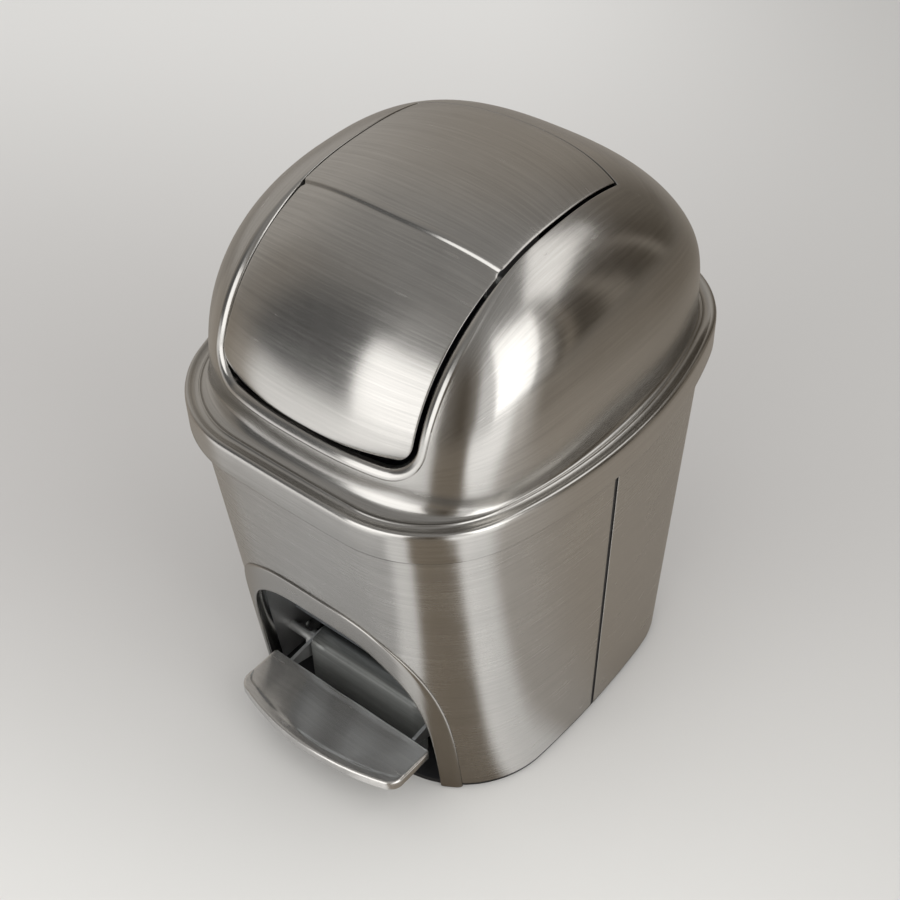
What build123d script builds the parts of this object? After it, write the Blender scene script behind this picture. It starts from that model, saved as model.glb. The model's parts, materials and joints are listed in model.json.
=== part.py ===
# Step trash can: an oval-cornered steel bin with a lift-off dome lid, a pedal-driven swing flap
# and a lift-out bucket. Millimetres, +Z up, front at -Y, origin at the centre of the base.
from build123d import *
from math import asin, atan2, cos, degrees, pi, radians, sin, sqrt
import os

# Outlines: half width, half depth, corner radius, bow of the two x sides, bow of the two y sides
RIM = (110.0, 126.8, 64.5, 10.1, 0.35)
BODY_TOP = (105.0, 121.8, 59.5, 10.1, 0.35)
BODY_FOOT = (94.2, 101.9, 57.8, 1.7, 0.5)
BODY_TOP_Z = 200.3          # height at which the BODY_TOP outline is measured
SHELL_Z0, SHELL_Z1 = 3.0, 207.0
SHEET = 0.8                 # body sheet thickness
LINING, COLLAR = 1.2, 3.2   # thickness of the pieces that line the shells
SEAM_GAP = 2.7              # open gap between the front and the rear shell
SEAM_Y_FOOT, SEAM_Y_TOP = -3.0, -10.0
TRAY_LIP_Z, COLLAR_Z0 = 14.0, 198.0

# Pedal arch in the front shell
ARCH_HALF_W, ARCH_H = 60.8, 110.7
BEZEL_HALF_W, BEZEL_H = 70.6, 128.6
ARCH_POWER = 3.5
BEZEL_PROUD = 1.2

# Lid
RIM_Z0, RIM_Z1 = 200.3, 218.3
GROOVE_Z = 212.4
GROOVE_IN, GROOVE_OUT = 17.0, 6.5   # inset of the groove from the rim outline
RIM_SHEET = 1.2
DOME_Y, DOME_H = 5.2, 105.8
DOME_FRONT, DOME_REAR, DOME_HALF_W = 118.0, 113.1, 99.0
DOME_M, DOME_K, DOME_N = 2.51, 4.57, 2.35
DOME_CLIP = 9.0             # the dome wall never comes nearer the rim outline than this
DOME_SOFT = 40              # how sharply the wall turns away from that limit
DOME_SHEET = 1.0

# Flap and its opening
FLAP_HALF_W = 56.4
FLAP_GAP = 2.3              # slot at each side of the flap
REAR_GAP = 0.9              # slot behind the flap
CREASE_Y = -37.0
FLAP_REAR_Y, FLAP_REAR_BOW = 46.0, 12.0
FLAP_FOOT_Z, OPENING_FOOT_Z = 243.0, 236.5
FLAP_RECESS = 2.0           # the lower panel sits this far inside the dome
FLAP_SHEET = 1.0
FLAP_SWING = 45.0
PIVOT_Y, PIVOT_Z = -36.0, 300.0
CRANK_R = 28.0
CRANK_X = 50.0
ROLLER_R = 3.0

# Pedal
PEDAL_Y, PEDAL_Z = -76.0, 24.0
PEDAL_SWING = 18.0
LIFT = 2 * CRANK_R * sin(radians(FLAP_SWING / 2))      # rod travel that opens the flap
ARM_R = LIFT / (2 * sin(radians(PEDAL_SWING / 2)))     # rear arm of the pedal
TREAD_HALF_W, TREAD_BACK, TREAD_FRONT = 56.0, -97.5, -136.5
TREAD_Z = 30.0
PIN_R = 3.0
ROD_R, ROD_X = 1.6, 88.0
CONTACT_GAP = 0.4           # play between each pusher and what it pushes
ROD_SPLIT = 212.0
RUN_GAP = 0.15              # running clearance of pins and rods, per side

# Bucket
BUCKET_TOP, BUCKET_FOOT = 197.0, 54.0
BUCKET_SHEET = 1.0
EAR_Y = 10.0
BAIL_X, BAIL_R = 86.6, 1.6
BAIL_BEND = 38.6            # bend radius of the bail round the bucket's rear corners
BAIL_Z = 190.0

SIDES = (("left", -1), ("right", 1))
parts = {}


def mix(a, b, t):
    return tuple(p + (q - p) * t for p, q in zip(a, b))


def outline(size, z, inset=0.0):
    """A rounded rectangle with bowed sides: eight tangent arcs."""
    half_w, half_d, corner, bow_x, bow_y = size
    half_w, half_d, corner = half_w - inset, half_d - inset, corner - inset
    cx, cy = half_w - corner - bow_x, half_d - corner - bow_y
    rx, ry = (cy ** 2 + bow_x ** 2) / (2 * bow_x), (cx ** 2 + bow_y ** 2) / (2 * bow_y)
    tx, ty = asin(cy / rx), asin(cx / ry)

    def on_x(t):
        return half_w - corner - rx + (rx + corner) * cos(t), (rx + corner) * sin(t)

    def on_y(t):
        return (ry + corner) * sin(t), half_d - corner - ry + (ry + corner) * cos(t)

    turn = (tx + pi / 2 - ty) / 2
    mid = cx + corner * cos(turn), cy + corner * sin(turn)
    ends = [on_x(tx), on_y(ty)]
    quads = [(1, 1), (-1, 1), (-1, -1), (1, -1)]
    loop = []
    for i, (sx, sy) in enumerate(quads):
        a, b = ends if i % 2 == 0 else ends[::-1]
        loop.append(ThreePointArc(*[(sx * x, sy * y, z) for x, y in (a, mid, b)]))
        nx, ny = quads[(i + 1) % 4]
        flat = (0, sy * half_d) if i % 2 == 0 else (sx * half_w, 0)
        loop.append(ThreePointArc((sx * b[0], sy * b[1], z), (*flat, z), (nx * b[0], ny * b[1], z)))
    return make_face(loop)


def body_size(z):
    return mix(BODY_FOOT, BODY_TOP, z / BODY_TOP_Z)


def body_solid(z0, z1, inset=0.0):
    return loft([outline(body_size(z0), z0, inset), outline(body_size(z1), z1, inset)], ruled=True)


def slab(size, z0, z1, inset=0.0):
    return extrude(outline(size, z0, inset), amount=z1 - z0, dir=(0, 0, 1))


def box(x0, x1, y0, y1, z0, z1):
    return Pos((x0 + x1) / 2, (y0 + y1) / 2, (z0 + z1) / 2) * Box(x1 - x0, y1 - y0, z1 - z0)


def rod(p, q, r):
    a, b = Vector(*p), Vector(*q)
    return Solid.make_cylinder(r, (b - a).length, Plane(a, z_dir=(b - a).normalized()))


def prism_x(points, x0, x1):
    """A polygon in the YZ plane, swept from x0 to x1."""
    return extrude(make_face(Polyline(*[(x0, y, z) for y, z in points], close=True)),
                   amount=x1 - x0, dir=(1, 0, 0))


def bent_rod(points, r):
    """A round wire along a polyline with a ball at every bend."""
    out = rod(points[0], points[1], r)
    for p, q in zip(points[1:], points[2:]):
        out = out + Pos(*p) * Sphere(r) + rod(p, q, r)
    return out


def arch(half_w, height, y0=-150, y1=-60):
    """The arch as a block along Y: straight legs, rounded head."""
    e = 2 / ARCH_POWER
    head = [(half_w * cos(a) ** e, height * sin(a) ** e)
            for a in [radians(6 * i) for i in range(1, 16)]]
    head = [(half_w, -5), (half_w, head[0][1] * 0.5)] + head
    curve = Spline(*[(x, y0, z) for x, z in head[1:]] + [(-x, y0, z) for x, z in head[1:-1][::-1]])
    legs = Polyline((-half_w, y0, head[1][1]), (-half_w, y0, -5), (half_w, y0, -5), (half_w, y0, head[1][1]))
    return extrude(make_face([curve, legs]), amount=y1 - y0, dir=(0, 1, 0))


def dome_scale(x, half_w):
    return max(1 - abs(x / half_w) ** DOME_M, 0) ** (1 / DOME_K)


def dome_z(x, y, inset=0.0):
    reach = ((DOME_FRONT if y < DOME_Y else DOME_REAR) - inset)
    s = dome_scale(x, DOME_HALF_W - inset)
    return GROOVE_Z + (DOME_H - inset) * s * (1 - abs((y - DOME_Y) / (reach * s)) ** DOME_N) ** (1 / DOME_N)


def reach(size, inset, x, y):
    """Distance from the axis to the outline, in the direction of (x, y)."""
    half_w, half_d, corner, bow_x, bow_y = size
    half_w, half_d, corner = half_w - inset, half_d - inset, corner - inset
    cx, cy = half_w - corner - bow_x, half_d - corner - bow_y
    rx, ry = (cy ** 2 + bow_x ** 2) / (2 * bow_x), (cx ** 2 + bow_y ** 2) / (2 * bow_y)
    tx, ty = asin(cy / rx), asin(cx / ry)
    x, y = abs(x) / sqrt(x * x + y * y), abs(y) / sqrt(x * x + y * y)
    end_x = atan2((rx + corner) * sin(tx), half_w - corner - rx + (rx + corner) * cos(tx))
    end_y = atan2(half_d - corner - ry + (ry + corner) * cos(ty), (ry + corner) * sin(ty))
    if atan2(y, x) < end_x:
        px, py, r = half_w - corner - rx, 0.0, rx + corner
    elif atan2(y, x) < end_y:
        px, py, r = cx, cy, corner
    else:
        px, py, r = 0.0, half_d - corner - ry, ry + corner
    along = x * px + y * py
    return along + sqrt(along ** 2 - px ** 2 - py ** 2 + r ** 2)


def kept_inside(x, y, inset):
    """Draws a dome point smoothly inside the rim outline."""
    d, limit = sqrt(x * x + y * y), reach(RIM, DOME_CLIP + inset, x, y)
    k = (1 + (d / limit) ** DOME_SOFT) ** (-1 / DOME_SOFT)
    return x * k, y * k


def dome_level(z, inset=0.0, count=9):
    """One horizontal outline of the dome, as a smooth closed curve."""
    level = (z - GROOVE_Z) / (DOME_H - inset)
    half_w = (DOME_HALF_W - inset) * (1 - level ** DOME_K) ** (1 / DOME_M)
    quarter = []
    for i in range(count):
        x = half_w * sin(pi / 2 * i / count)
        s = dome_scale(x, DOME_HALF_W - inset)
        quarter.append((x, s * max(1 - (level / s) ** DOME_N, 0) ** (1 / DOME_N)))
    front, rear = DOME_FRONT - inset, DOME_REAR - inset
    ring = [(x, DOME_Y - front * v) for x, v in quarter] + [(half_w, DOME_Y)]
    ring += [(x, DOME_Y + rear * v) for x, v in quarter[::-1]]
    ring += [(-x, y) for x, y in ring[1:-1][::-1]]
    ring = [kept_inside(x, y, inset) for x, y in ring]
    return make_face(Spline(*[(x, y, z) for x, y in ring], periodic=True))


def dome_solid(inset=0.0):
    levels = [GROOVE_Z + DOME_H * v for v in (0, 0.12, 0.3, 0.48, 0.64, 0.77, 0.87, 0.93, 0.965)]
    return loft([dome_level(z, inset) for z in levels])


def crown_solid(inset=0.0, half_w=60.0):
    """The middle of the dome between two planes of constant x."""
    faces = []
    for i in range(-3, 4):
        x = half_w * i / 3
        s = dome_scale(x, DOME_HALF_W - inset)
        bow = []
        for j in range(1, 24):
            a = pi * j / 24
            r = (abs(cos(a)) ** DOME_N + sin(a) ** DOME_N) ** (-1 / DOME_N)
            reach = (DOME_FRONT if cos(a) > 0 else DOME_REAR) - inset
            bow.append((x, DOME_Y - reach * s * r * cos(a), GROOVE_Z + (DOME_H - inset) * s * r * sin(a)))
        foot = Polyline(bow[-1], (x, bow[-1][1], 200), (x, bow[0][1], 200), bow[0])
        faces.append(make_face([Spline(*bow), foot]))
    return loft(faces)


def opening(half_w, foot_z, corner, rear_out=0.0):
    """The flap opening: a rounded window from the front, with a bowed rear edge from above."""
    window = make_face(Polyline((-half_w, -150, foot_z), (half_w, -150, foot_z),
                                               (half_w, -150, 340), (-half_w, -150, 340), close=True))
    block = extrude(window, amount=260, dir=(0, 1, 0))
    block = fillet(block.edges().filter_by(Axis.Y).group_by(Axis.Z)[0], corner)
    rear = FLAP_REAR_Y + rear_out
    plan = make_face([ThreePointArc((half_w, rear, 200), (0, rear + FLAP_REAR_BOW, 200), (-half_w, rear, 200)),
                      Polyline((-half_w, rear, 200), (-half_w, -150, 200), (half_w, -150, 200), (half_w, rear, 200))])
    return block & extrude(plan, amount=160, dir=(0, 0, 1))


# Body shells
inner_body = body_solid(SHELL_Z0, SHELL_Z1, SHEET)
lined_body = body_solid(SHELL_Z0, SHELL_Z1, SHEET + LINING)
collar_core = body_solid(SHELL_Z0, SHELL_Z1, SHEET + COLLAR)
shell = body_solid(SHELL_Z0, SHELL_Z1) - inner_body


def seam_y(z):
    return SEAM_Y_FOOT + (SEAM_Y_TOP - SEAM_Y_FOOT) * z / BODY_TOP_Z


def seam_block(front):
    side = -1 if front else 1
    pts = [(seam_y(z) + side * SEAM_GAP / 2, z) for z in (-5, 230)]
    return prism_x([pts[0], pts[1], (side * 150, 230), (side * 150, -5)], -130, 130)


parts["front_shell"] = (shell & seam_block(True)) - arch(ARCH_HALF_W, ARCH_H)
parts["rear_shell"] = shell & seam_block(False)
bezel = body_solid(1, 140, -BEZEL_PROUD) - body_solid(1, 140)
parts["arch_bezel"] = (bezel & arch(BEZEL_HALF_W, BEZEL_H)) - arch(ARCH_HALF_W, ARCH_H)

# A dark strip closes each seam from inside
strip = (inner_body - lined_body) & box(-150, 150, -150, 150, TRAY_LIP_Z, COLLAR_Z0)
for name, side in SIDES:
    band = prism_x([(seam_y(z) + d, z) for z, d in ((0, -7), (0, 7), (230, 7), (230, -7))],
                   min(0, side * 130), max(0, side * 130))
    parts["seam_strip_" + name] = strip & band

# Base tray, anti-slip ring
tray = slab(body_size(0), 0, SHELL_Z0, 1.0) + (
    (inner_body - lined_body) & box(-150, 150, -150, 150, SHELL_Z0, TRAY_LIP_Z))
groove = slab(body_size(0), 0, 1.5, 6.0) - slab(body_size(0), 0, 1.5, 12.0)
tray = tray - groove
mouth = box(-ARCH_HALF_W, ARCH_HALF_W, -140, -80, 3, 20)
parts["base_tray"] = tray - mouth
parts["anti_slip_ring"] = groove

# Collar in the top of the shells
collar = inner_body & box(-150, 150, -150, 150, COLLAR_Z0, SHELL_Z1)
collar = (collar - collar_core) + (slab(body_size(SHELL_Z1), SHELL_Z1, SHELL_Z1 + 2)
                                   - slab(body_size(SHELL_Z1), SHELL_Z1, SHELL_Z1 + 2, SHEET + COLLAR))
parts["top_collar"] = collar

# Pedal well walls with the pin between them
WELL_X, WELL_SHEET = 64.0, 1.5
for name, side in SIDES:
    wall = prism_x([(-98, 3), (-55, 3), (-55, 60), (-80, 100), (-104, 100)], 0, WELL_SHEET)
    flange = box(0, 10, -98, -55, 3, 3 + WELL_SHEET)
    wall = Pos(WELL_X, 0, 0) * (wall + flange)
    wall = (wall & lined_body) - rod((0, PEDAL_Y, PEDAL_Z), (99, PEDAL_Y, PEDAL_Z), PIN_R)
    parts["well_wall_" + name] = wall if side > 0 else mirror(wall, Plane.YZ)
parts["pedal_pin"] = rod((-67, PEDAL_Y, PEDAL_Z), (67, PEDAL_Y, PEDAL_Z), PIN_R)

# Bucket ledges
LEDGE_X0, LEDGE_X1 = 60.0, 80.0
for name, side in SIDES:
    ledge = box(LEDGE_X0, LEDGE_X1, 12, 70, BUCKET_FOOT - 1.5, BUCKET_FOOT) + box(
        LEDGE_X1 - 1.5, LEDGE_X1, 12, 70, 3, BUCKET_FOOT) + box(LEDGE_X0, LEDGE_X1, 12, 70, 3, 4.5)
    parts["bucket_ledge_" + name] = ledge if side > 0 else mirror(ledge, Plane.YZ)

# Guides for the lower rods
for name, side in SIDES:
    z0, z1 = 140.0, 146.0
    y = PEDAL_Y + ARM_R * cos(radians(PEDAL_SWING / 2))
    guide = lined_body & box(ROD_X - 3.4, 120, y - 5, y + 5, z0, z1)
    guide = guide - rod((ROD_X, y, z0 - 5), (ROD_X, y, z1 + 5), ROD_R + RUN_GAP)
    parts["rod_guide_" + name] = guide if side > 0 else mirror(guide, Plane.YZ)

# Pedal: yoke and tread
half = radians(PEDAL_SWING / 2)
BAR_Y, BAR_Z = PEDAL_Y + ARM_R * cos(half), PEDAL_Z - ARM_R * sin(half)
ARM_X = 44.0
yoke = rod((-ROD_X - 3, BAR_Y, BAR_Z), (ROD_X + 3, BAR_Y, BAR_Z), ROLLER_R)
for side in (-1, 1):
    arm = prism_x([(PEDAL_Y - 20, PEDAL_Z - 1), (PEDAL_Y, PEDAL_Z - 7), (BAR_Y, BAR_Z - 2), (BAR_Y, BAR_Z + 2),
                   (PEDAL_Y + 4, PEDAL_Z + 7), (PEDAL_Y - 20, TREAD_Z - 1.2), (TREAD_BACK - 26, TREAD_Z - 1.2),
                   (TREAD_BACK - 26, TREAD_Z - 6)], side * ARM_X - 1, side * ARM_X + 1)
    yoke = yoke + arm + rod((side * ARM_X - 5, PEDAL_Y, PEDAL_Z), (side * ARM_X + 5, PEDAL_Y, PEDAL_Z), PIN_R + 2)
yoke = yoke - rod((-60, PEDAL_Y, PEDAL_Z), (60, PEDAL_Y, PEDAL_Z), PIN_R + RUN_GAP)
parts["pedal_yoke"] = yoke


def tread_plan(inset, z):
    w, b, f = TREAD_HALF_W - inset, TREAD_BACK, TREAD_FRONT + inset
    shoulder = f + 10
    nose = ThreePointArc((-w, shoulder, z), (0, f, z), (w, shoulder, z))
    return make_face([nose, Polyline((w, shoulder, z), (w, b, z), (-w, b, z), (-w, shoulder, z))])


def tread_block(inset, z0, z1):
    block = extrude(tread_plan(inset, z0), amount=z1 - z0, dir=(0, 0, 1))
    return fillet(block.edges().filter_by(Axis.Z).group_by(Axis.Y)[0], 9 - inset)


parts["pedal_tread"] = tread_block(0, TREAD_Z - 6, TREAD_Z) - tread_block(1.2, TREAD_Z - 7, TREAD_Z - 1.2)

# Return spring around the pin, its legs resting on the tray and on the yoke
coil = Solid.make_cylinder(PIN_R + 2.6, 18, Plane((18, PEDAL_Y, PEDAL_Z), z_dir=(1, 0, 0)))
coil = coil - rod((10, PEDAL_Y, PEDAL_Z), (50, PEDAL_Y, PEDAL_Z), PIN_R + 1.0)
parts["return_spring"] = coil + bent_rod([(30, PEDAL_Y + PIN_R + 1.8, PEDAL_Z), (30, PEDAL_Y + 24, 4.0)], 0.9)

# Lower rods
for name, side in SIDES:
    x = side * ROD_X
    parts["lower_rod_" + name] = rod((x, BAR_Y, BAR_Z + ROLLER_R + CONTACT_GAP), (x, BAR_Y, ROD_SPLIT - CONTACT_GAP), ROD_R)

# Lid: skirt, bead and groove, dome, opening
rim = slab(RIM, RIM_Z0, RIM_Z1)
rim = fillet(rim.edges().group_by(Axis.Z)[-1], 2.6)
rim = rim - slab(RIM, RIM_Z0 - 1, GROOVE_Z - RIM_SHEET, RIM_SHEET)
rim = rim - slab(RIM, GROOVE_Z, RIM_Z1 + 1, GROOVE_OUT) - slab(RIM, RIM_Z0 - 1, RIM_Z1 + 1, GROOVE_IN)
inner_dome = dome_solid(DOME_SHEET)
dome = dome_solid() - inner_dome
window = opening(FLAP_HALF_W + FLAP_GAP, OPENING_FOOT_Z, 14.0, REAR_GAP)
parts["lid_dome"] = (dome + rim) - window
frame_z0, frame_z1 = SHELL_Z1 + 2, GROOVE_Z - RIM_SHEET
parts["lid_frame"] = slab(RIM, frame_z0, frame_z1, 5.5) - slab(RIM, frame_z0, frame_z1, 14.5)

# Flap, its pins, cranks and rollers
blank = opening(FLAP_HALF_W, FLAP_FOOT_Z, 12.0)
upper = (crown_solid(0) - crown_solid(FLAP_SHEET)) & box(-80, 80, CREASE_Y, 90, 200, 330)
joggle = (crown_solid(0) - crown_solid(FLAP_RECESS + FLAP_SHEET)) & box(-80, 80, CREASE_Y - 1, CREASE_Y, 200, 330)
lower = (crown_solid(FLAP_RECESS) - crown_solid(FLAP_RECESS + FLAP_SHEET)) & box(-80, 80, -150, CREASE_Y - 1, 200, 330)
parts["flap_plate"] = (upper + joggle + lower) & blank
start = radians(-FLAP_SWING / 2)
ROLL_Y, ROLL_Z = PIVOT_Y + CRANK_R * cos(start), PIVOT_Z + CRANK_R * sin(start)
for name, side in SIDES:
    x0, x1 = CRANK_X + 2.4, CRANK_X + 4.0
    crank = prism_x([(PIVOT_Y - 8, PIVOT_Z - 5), (PIVOT_Y + 4, PIVOT_Z - 6), (ROLL_Y + 3, ROLL_Z - 2.4),
                     (ROLL_Y + 3, ROLL_Z + 2.4), (ROLL_Y + 3, 330), (PIVOT_Y - 8, 330)], x0, x1)
    crank = crank & crown_solid(FLAP_RECESS + FLAP_SHEET)
    crank = crank - rod((x0 - 9, PIVOT_Y, PIVOT_Z), (x1 + 9, PIVOT_Y, PIVOT_Z), 2.0)
    crank = crank - rod((x0 - 9, ROLL_Y, ROLL_Z), (x1 + 9, ROLL_Y, ROLL_Z), 1.2)
    roller = rod((CRANK_X - 2.4, ROLL_Y, ROLL_Z), (x0, ROLL_Y, ROLL_Z), ROLLER_R) + rod(
        (x0, ROLL_Y, ROLL_Z), (x1, ROLL_Y, ROLL_Z), 1.2)
    pin = rod((x0 - 1, PIVOT_Y, PIVOT_Z), (66, PIVOT_Y, PIVOT_Z), 2.0)
    bracket = prism_x([(PIVOT_Y - 7, PIVOT_Z - 30), (PIVOT_Y + 7, PIVOT_Z - 30), (PIVOT_Y + 6, PIVOT_Z + 5),
                       (PIVOT_Y - 6, PIVOT_Z + 5)], 62, 64) + prism_x(
        [(PIVOT_Y - 7, PIVOT_Z - 30), (PIVOT_Y + 7, PIVOT_Z - 30), (PIVOT_Y + 7, PIVOT_Z - 28.5),
         (PIVOT_Y - 7, PIVOT_Z - 28.5)], 62, 110)
    bracket = bracket & inner_dome
    bracket = bracket - rod((50, PIVOT_Y, PIVOT_Z), (80, PIVOT_Y, PIVOT_Z), 2.0 + RUN_GAP)
    for key, shape in (("flap_crank_", crank), ("crank_roller_", roller), ("pivot_pin_", pin),
                       ("pivot_bracket_", bracket)):
        parts[key + name] = shape if side > 0 else mirror(shape, Plane.YZ)

# Upper rods bend inwards under the flap
for name, side in SIDES:
    path = [(ROD_X, BAR_Y, ROD_SPLIT + CONTACT_GAP), (ROD_X, BAR_Y, 230), (CRANK_X, ROLL_Y, 256),
            (CRANK_X, ROLL_Y, ROLL_Z - ROLLER_R - CONTACT_GAP)]
    wire = bent_rod([(side * x, y, z) for x, y, z in path], ROD_R)
    parts["upper_rod_" + name] = wire

# Bucket: straight back, sloping front that leaves room for the foot
def bucket_section(z, inset):
    t = (z - BUCKET_FOOT) / (BUCKET_TOP - BUCKET_FOOT)
    w, rear, front = 76 + 6 * t - inset, 92 + 10 * t - inset, -60 - 38 * t + inset
    plate = Pos(0, (rear + front) / 2, z) * RectangleRounded(2 * w, rear - front, 34 - inset)
    return plate


def bucket_solid(z0, z1, inset):
    return loft([bucket_section(z0, inset), bucket_section(z1, inset)], ruled=True)


bucket = bucket_solid(BUCKET_FOOT, BUCKET_TOP, 0) - bucket_solid(BUCKET_FOOT + BUCKET_SHEET, BUCKET_TOP + 1, BUCKET_SHEET)
lip = extrude(bucket_section(BUCKET_TOP, -1.0), amount=1.2, dir=(0, 0, 1)) - extrude(
    bucket_section(BUCKET_TOP, BUCKET_SHEET), amount=1.2, dir=(0, 0, 1))
parts["bucket"] = bucket + lip

for name, side in SIDES:
    ear = box(81.6, 84.6, EAR_Y - 6, EAR_Y + 6, BAIL_Z - 6, BAIL_Z + 5) - bucket_solid(BUCKET_FOOT, BUCKET_TOP, 0)
    pivot = rod((82, EAR_Y, BAIL_Z), (BAIL_X + 2.4, EAR_Y, BAIL_Z), 1.2) - bucket_solid(BUCKET_FOOT, BUCKET_TOP, 0)
    ear = ear + pivot
    parts["bail_ear_" + name] = ear if side > 0 else mirror(ear, Plane.YZ)

bend_x, bend_y = BAIL_X - BAIL_BEND, 68.0
BAIL_REAR = bend_y + BAIL_BEND
arm_end = [(BAIL_X, EAR_Y, BAIL_Z)] + [(bend_x + BAIL_BEND * cos(radians(a)), bend_y + BAIL_BEND * sin(radians(a)), BAIL_Z)
                                       for a in (0, 22.5, 45, 67.5, 90)]
path = arm_end + [(-x, y, z) for x, y, z in arm_end[::-1]]
eyes = [rod((s * (BAIL_X - 1.2), EAR_Y, BAIL_Z), (s * (BAIL_X + 1.2), EAR_Y, BAIL_Z), 3.2) for s in (-1, 1)]
bail = bent_rod(path, BAIL_R) + eyes[0] + eyes[1]
parts["bail_wire"] = bail - rod((-100, EAR_Y, BAIL_Z), (100, EAR_Y, BAIL_Z), 1.2 + RUN_GAP)
parts["bail_grip"] = rod((-35, BAIL_REAR, BAIL_Z), (35, BAIL_REAR, BAIL_Z), 3.2) - rod(
    (-40, BAIL_REAR, BAIL_Z), (40, BAIL_REAR, BAIL_Z), BAIL_R)

os.makedirs("parts", exist_ok=True)
for node, shape in parts.items():
    export_step(shape, "parts/" + node + ".step")
    box_of = shape.bounding_box()
    print(node, len(shape.solids()), round(shape.volume), [round(v, 1) for v in (*box_of.min, *box_of.max)])
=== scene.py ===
import json
import math
import bmesh
import bpy
import numpy as np
from mathutils import Matrix, Vector


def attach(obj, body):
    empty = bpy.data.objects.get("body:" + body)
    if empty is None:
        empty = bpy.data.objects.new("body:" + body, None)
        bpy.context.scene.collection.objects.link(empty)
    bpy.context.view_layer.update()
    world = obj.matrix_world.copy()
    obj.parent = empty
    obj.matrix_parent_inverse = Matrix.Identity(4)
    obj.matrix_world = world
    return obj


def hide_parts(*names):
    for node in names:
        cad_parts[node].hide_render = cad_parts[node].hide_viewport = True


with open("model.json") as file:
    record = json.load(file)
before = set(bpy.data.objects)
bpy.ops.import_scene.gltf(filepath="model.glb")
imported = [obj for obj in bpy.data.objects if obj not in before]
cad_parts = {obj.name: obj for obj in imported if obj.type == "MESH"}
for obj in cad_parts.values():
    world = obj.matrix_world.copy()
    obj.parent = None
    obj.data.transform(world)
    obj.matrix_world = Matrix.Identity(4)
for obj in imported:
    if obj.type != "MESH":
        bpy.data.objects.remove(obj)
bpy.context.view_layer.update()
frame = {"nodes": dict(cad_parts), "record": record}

NODES = frame["nodes"]
MM = 0.001

# Outlines, as in the solids: half width, half depth, corner radius, bow of x sides, bow of y sides (mm)
RIM = np.array((110.0, 126.8, 64.5, 10.1, 0.35))
BODY_TOP = np.array((105.0, 121.8, 59.5, 10.1, 0.35))
BODY_FOOT = np.array((94.2, 101.9, 57.8, 1.7, 0.5))
BODY_TOP_Z, SHELL_Z0, SHELL_Z1, SHEET = 200.3, 3.0, 207.0, 0.8
RIM_Z0, GROOVE_Z = 200.3, 212.4
DOME_Y, DOME_H, DOME_FRONT, DOME_REAR, DOME_HALF_W = 5.2, 105.8, 118.0, 113.1, 99.0
DOME_M, DOME_K, DOME_N, DOME_CLIP, DOME_SOFT = 2.51, 4.57, 2.35, 9.0, 40
DOME_CENTRE = np.array((0, DOME_Y, GROOVE_Z))
FLAP_HALF_W, FLAP_GAP, REAR_GAP, CREASE_Y = 56.4, 2.3, 0.9, -37.0
FLAP_REAR_Y, FLAP_REAR_BOW, OPENING_FOOT_Z, OPENING_CORNER = 46.0, 12.0, 236.5, 14.0
ARCH_HALF_W, ARCH_H, BEZEL_HALF_W, BEZEL_H, ARCH_POWER = 60.8, 110.7, 70.6, 128.6, 3.5
SEAM_GAP, SEAM_Y_FOOT, SEAM_Y_TOP = 2.7, -3.0, -10.0

HALVINGS = 44      # steps of every search between two bounds
GIRTH = 0.105      # brush length for one radian round the can (m)
BRUSH_TURN = 0.25  # quarter turn of the highlight, across the brushing
BUMP_DEPTH = 0.0003


# Points of the outlines and of the dome
def points(x, y, z):
    return np.stack(np.broadcast_arrays(x, y, z), -1)


def polar(r, th, z):
    return points(r * np.cos(th), r * np.sin(th), z)


def unit(v):
    return v / np.maximum(np.linalg.norm(v, axis=-1, keepdims=True), 1e-12)


def lengths(line):
    """How far each point of a polyline lies along it."""
    return np.r_[0, np.cumsum(np.linalg.norm(np.diff(line, axis=0), axis=1))]


def at_length(t, d, line):
    return np.stack([np.interp(t, d, axis) for axis in line.T], -1)


def resample(line, n, closed=False):
    """n points at even spacing along a polyline."""
    if closed:
        line = np.vstack([line, line[:1]])
    d = lengths(line)
    t = np.linspace(0, d[-1], n + 1)[:-1] if closed else np.linspace(0, d[-1], n)
    return at_length(t, d, line)


def around(values, width):
    """A running average along a closed ring."""
    kernel = np.hanning(width + 2)[1:-1]
    kernel /= kernel.sum()
    pad = width // 2
    return np.stack([np.convolve(np.r_[v[-pad:], v, v[:pad]], kernel, "valid") for v in values.T], -1)


def reach(size, inset, th):
    """Distance from the axis to a rounded, bowed outline in each plan direction."""
    half_w, half_d, corner, bow_x, bow_y = [np.asarray(v, float) for v in size]
    half_w, half_d, corner = half_w - inset, half_d - inset, corner - inset
    cx, cy = half_w - corner - bow_x, half_d - corner - bow_y
    rx, ry = (cy ** 2 + bow_x ** 2) / (2 * bow_x), (cx ** 2 + bow_y ** 2) / (2 * bow_y)
    tx, ty = np.arcsin(cy / rx), np.arcsin(cx / ry)
    x, y = np.abs(np.cos(th)), np.abs(np.sin(th))
    end_x = np.arctan2((rx + corner) * np.sin(tx), half_w - corner - rx + (rx + corner) * np.cos(tx))
    end_y = np.arctan2(half_d - corner - ry + (ry + corner) * np.cos(ty), (ry + corner) * np.sin(ty))
    a = np.arctan2(y, x)
    side, mid = a < end_x, a < end_y
    px = np.where(side, half_w - corner - rx, np.where(mid, cx, 0))
    py = np.where(side, 0, np.where(mid, cy, half_d - corner - ry))
    r = np.where(side, rx + corner, np.where(mid, corner, ry + corner))
    along = x * px + y * py
    return along + np.sqrt(along ** 2 - px ** 2 - py ** 2 + r ** 2)


def body_points(th, z, out=0.0):
    """Points of the body's wall, moved outwards by out."""
    t = np.asarray(z, float) / BODY_TOP_Z
    size = [foot + (top - foot) * t for foot, top in zip(BODY_FOOT, BODY_TOP)]
    return polar(reach(size, -np.asarray(out, float), th), th, z)


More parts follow.
